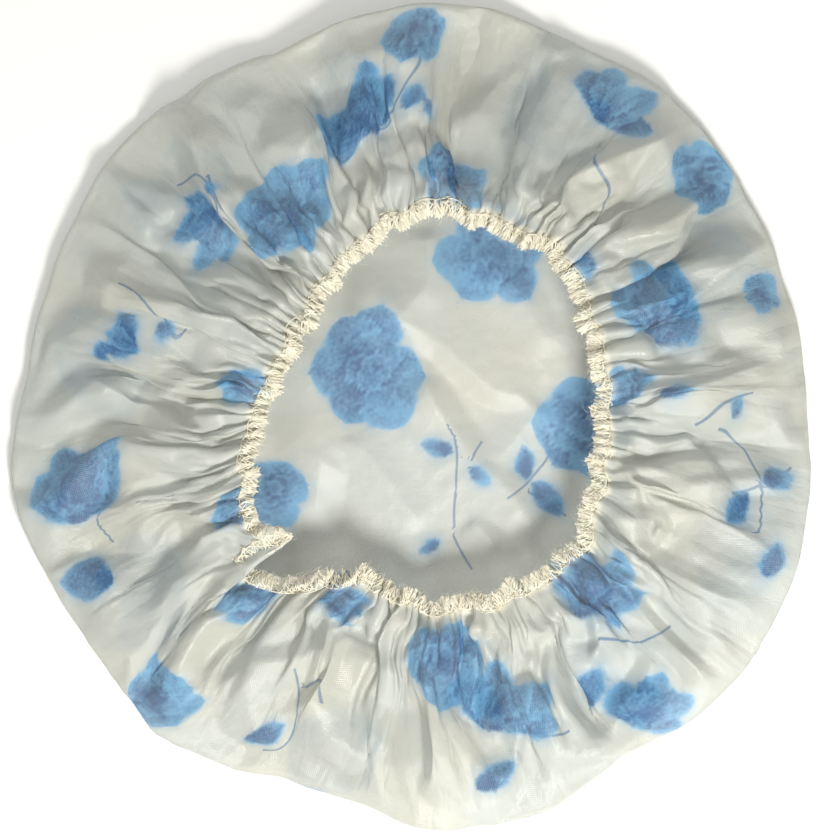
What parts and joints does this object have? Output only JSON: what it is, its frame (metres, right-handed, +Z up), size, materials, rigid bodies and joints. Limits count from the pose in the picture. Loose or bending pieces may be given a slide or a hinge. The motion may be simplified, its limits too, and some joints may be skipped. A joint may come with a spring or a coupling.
{
  "type": "shower cap",
  "caption": "Round bath cap of thin printed sheet, drawn in round its mouth by an elastic under an overlocked hem, lying on its crown.",
  "frame": {"origin": "on the table, on the underside of the crown, under its middle", "axes": "+Z up out of the mouth, +Y towards the top of the picture, +X towards its right"},
  "size_m": [0.2831, 0.2912, 0.0251],
  "materials": {
    "printed_sheet": "thin satin-faced waterproof sheet, off-white, slightly translucent, printed with loose blue flowers",
    "elastic": "off-white woven elastic, matt",
    "thread": "cream spun thread, matt"
  },
  "bodies": {
    "sheet": {"cap_sheet": "printed_sheet"},
    "hem": {"elastic_band": "elastic", "upper_looper_thread": "thread", "lower_looper_thread": "thread", "needle_thread": "thread"}
  },
  "joints": [
    {"name": "hem_lift", "type": "slide", "parent": "sheet", "child": "hem", "axis": [0, 0, 1], "range_m": [0, 0.025], "deforming": ["cap_sheet"]}
  ]
}
